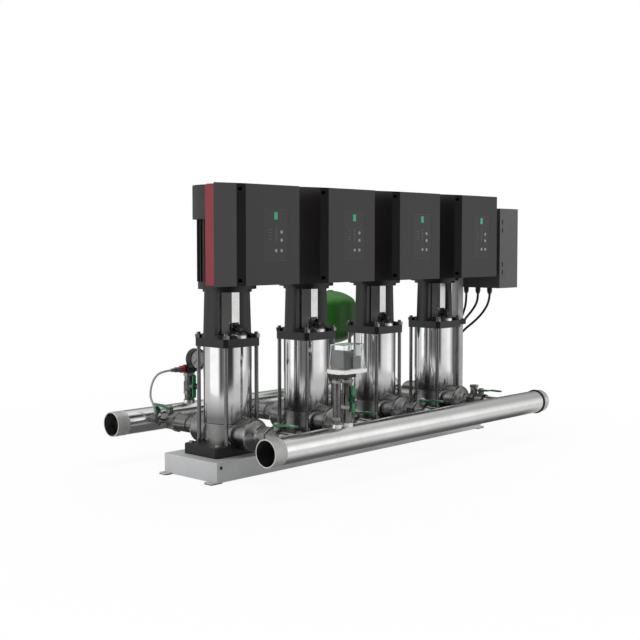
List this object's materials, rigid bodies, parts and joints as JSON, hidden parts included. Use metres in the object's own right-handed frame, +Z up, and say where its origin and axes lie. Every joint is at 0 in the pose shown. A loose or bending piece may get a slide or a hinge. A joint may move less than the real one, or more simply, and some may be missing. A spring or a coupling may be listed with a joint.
{
  "type": "booster pump set",
  "caption": "Upright multistage pumps with motor drives on one base frame, between a suction and a discharge manifold, with valves, gauge, pressure switch, tank and cabinet.",
  "frame": {"origin": "on the floor at the middle of the four foot holes", "axes": "+X along the manifolds towards the cabinet, +Y from discharge to suction side, +Z up"},
  "size_m": [1.697, 0.9504, 0.986],
  "materials": {
    "frame_steel": "satin",
    "pad_rubber": "matte",
    "bolt_zinc": "bright zinc",
    "black_iron": "black satin paint",
    "cast_stainless": "pickled",
    "polished_stainless": "polished",
    "inner_stainless": "brushed",
    "seal_carbon": "ground",
    "plug_black": "matte",
    "motor_paint": "satin",
    "copper_winding": "enamelled",
    "drive_black": "fine texture",
    "band_red": "satin",
    "panel_dark": "gloss",
    "board_green": "solder mask",
    "manifold_steel": "pickled",
    "cap_rubber_steel": "turned",
    "valve_nickel": "nickel plated",
    "lever_green": "gloss",
    "gauge_mix": "matte",
    "sensor_grey": "matte",
    "cable_grey": "matte",
    "switch_white": "gloss",
    "clear_plastic": "clear",
    "tank_green": "gloss",
    "tank_rubber": "matte",
    "post_grey": "satin",
    "cabinet_grey": "fine texture",
    "fitting_black": "matte",
    "cable_black": "matte",
    "rotor_steel": "machined",
    "disc_brass": "machined"
  },
  "bodies": {
    "root": {"base_frame": "frame_steel", "floor_pads": "pad_rubber", "base_bolts": "bolt_zinc", "pump_base_plates": "black_iron", "port_housings": "cast_stainless", "pump_sleeves": "polished_stainless", "stage_chambers": "inner_stainless", "pump_heads": "black_iron", "stay_bolts": "bolt_zinc", "seals_and_bearings": "seal_carbon", "vent_plugs": "plug_black", "motor_stools": "black_iron", "coupling_guards": "inner_stainless", "motor_housings": "motor_paint", "stator_windings": "copper_winding", "fan_covers": "motor_paint", "drive_covers": "drive_black", "drive_displays": "panel_dark", "drive_screws": "bolt_zinc", "drive_bands": "band_red", "drive_casings": "drive_black", "drive_boards": "board_green", "valve_bodies": "valve_nickel", "union_nuts": "valve_nickel", "check_housings": "valve_nickel", "suction_manifold": "manifold_steel", "discharge_manifold": "manifold_steel", "end_caps": "cap_rubber_steel", "branch_fittings": "valve_nickel", "pressure_gauge": "gauge_mix", "pressure_sensors": "sensor_grey", "sensor_cable": "cable_grey", "pressure_switch": "switch_white", "switch_cover": "clear_plastic", "tank_shell": "tank_green", "tank_diaphragm": "tank_rubber", "cabinet_post": "post_grey", "cabinet_body": "cabinet_grey", "cable_fittings": "fitting_black", "power_cables": "cable_black"},
    "rotor_1": {"rotor_1": "rotor_steel"},
    "rotor_2": {"rotor_2": "rotor_steel"},
    "rotor_3": {"rotor_3": "rotor_steel"},
    "rotor_4": {"rotor_4": "rotor_steel"},
    "suction_lever_1": {"suction_lever_1": "lever_green"},
    "suction_lever_2": {"suction_lever_2": "lever_green"},
    "suction_lever_3": {"suction_lever_3": "lever_green"},
    "suction_lever_4": {"suction_lever_4": "lever_green"},
    "discharge_lever_1": {"discharge_lever_1": "lever_green"},
    "discharge_lever_2": {"discharge_lever_2": "lever_green"},
    "discharge_lever_3": {"discharge_lever_3": "lever_green"},
    "discharge_lever_4": {"discharge_lever_4": "lever_green"},
    "check_disc_1": {"check_disc_1": "disc_brass"},
    "check_disc_2": {"check_disc_2": "disc_brass"},
    "check_disc_3": {"check_disc_3": "disc_brass"},
    "check_disc_4": {"check_disc_4": "disc_brass"},
    "suction_cock_handle": {"suction_cock_handle": "lever_green"},
    "discharge_cock_handle": {"discharge_cock_handle": "lever_green"},
    "gauge_needle": {"gauge_needle": "plug_black"},
    "cabinet_door": {"cabinet_door": "cabinet_grey"}
  },
  "joints": [
    {"name": "rotor_spin_1", "type": "hinge", "parent": "root", "child": "rotor_1", "pos_m": [-0.575, 0, 0.56], "axis": [0, 0, 1], "continuous": true},
    {"name": "rotor_spin_2", "type": "hinge", "parent": "root", "child": "rotor_2", "pos_m": [-0.185, 0, 0.56], "axis": [0, 0, 1], "continuous": true},
    {"name": "rotor_spin_3", "type": "hinge", "parent": "root", "child": "rotor_3", "pos_m": [0.205, 0, 0.56], "axis": [0, 0, 1], "continuous": true},
    {"name": "rotor_spin_4", "type": "hinge", "parent": "root", "child": "rotor_4", "pos_m": [0.595, 0, 0.56], "axis": [0, 0, 1], "continuous": true},
    {"name": "suction_lever_turn_1", "type": "hinge", "parent": "root", "child": "suction_lever_1", "pos_m": [-0.575, 0.318, 0.141], "axis": [0, 0, 1], "range_deg": [-90, 0]},
    {"name": "suction_lever_turn_2", "type": "hinge", "parent": "root", "child": "suction_lever_2", "pos_m": [-0.185, 0.318, 0.141], "axis": [0, 0, 1], "range_deg": [-90, 0]},
    {"name": "suction_lever_turn_3", "type": "hinge", "parent": "root", "child": "suction_lever_3", "pos_m": [0.205, 0.318, 0.141], "axis": [0, 0, 1], "range_deg": [-90, 0]},
    {"name": "suction_lever_turn_4", "type": "hinge", "parent": "root", "child": "suction_lever_4", "pos_m": [0.595, 0.318, 0.141], "axis": [0, 0, 1], "range_deg": [-90, 0]},
    {"name": "discharge_lever_turn_1", "type": "hinge", "parent": "root", "child": "discharge_lever_1", "pos_m": [-0.575, -0.24, 0.141], "axis": [0, 0, 1], "range_deg": [0, 90]},
    {"name": "discharge_lever_turn_2", "type": "hinge", "parent": "root", "child": "discharge_lever_2", "pos_m": [-0.185, -0.24, 0.141], "axis": [0, 0, 1], "range_deg": [0, 90]},
    {"name": "discharge_lever_turn_3", "type": "hinge", "parent": "root", "child": "discharge_lever_3", "pos_m": [0.205, -0.24, 0.141], "axis": [0, 0, 1], "range_deg": [0, 90]},
    {"name": "discharge_lever_turn_4", "type": "hinge", "parent": "root", "child": "discharge_lever_4", "pos_m": [0.595, -0.24, 0.141], "axis": [0, 0, 1], "range_deg": [0, 90]},
    {"name": "check_disc_lift_1", "type": "slide", "parent": "root", "child": "check_disc_1", "axis": [0, -1, 0], "range_m": [0, 0.01], "stiffness_N_per_m": 150, "springref_m": -0.004},
    {"name": "check_disc_lift_2", "type": "slide", "parent": "root", "child": "check_disc_2", "axis": [0, -1, 0], "range_m": [0, 0.01], "stiffness_N_per_m": 150, "springref_m": -0.004},
    {"name": "check_disc_lift_3", "type": "slide", "parent": "root", "child": "check_disc_3", "axis": [0, -1, 0], "range_m": [0, 0.01], "stiffness_N_per_m": 150, "springref_m": -0.004},
    {"name": "check_disc_lift_4", "type": "slide", "parent": "root", "child": "check_disc_4", "axis": [0, -1, 0], "range_m": [0, 0.01], "stiffness_N_per_m": 150, "springref_m": -0.004},
    {"name": "suction_cock_turn", "type": "hinge", "parent": "root", "child": "suction_cock_handle", "pos_m": [-0.415, 0.397, 0.246], "axis": [0, 1, 0], "range_deg": [0, 90]},
    {"name": "discharge_cock_turn", "type": "hinge", "parent": "root", "child": "discharge_cock_handle", "pos_m": [-0.402, -0.397, 0.273], "axis": [0, 1, 0], "range_deg": [0, 90]},
    {"name": "gauge_needle_turn", "type": "hinge", "parent": "root", "child": "gauge_needle", "pos_m": [-0.415, 0.357, 0.352], "axis": [0, 1, 0], "range_deg": [0, 270], "stiffness_Nm_per_rad": 0.002, "springref_deg": -5.73},
    {"name": "cabinet_door_hinge", "type": "hinge", "parent": "root", "child": "cabinet_door", "pos_m": [0.9115, 0.0503, 0.598], "axis": [0, 0, 1], "range_deg": [0, 110]}
  ]
}
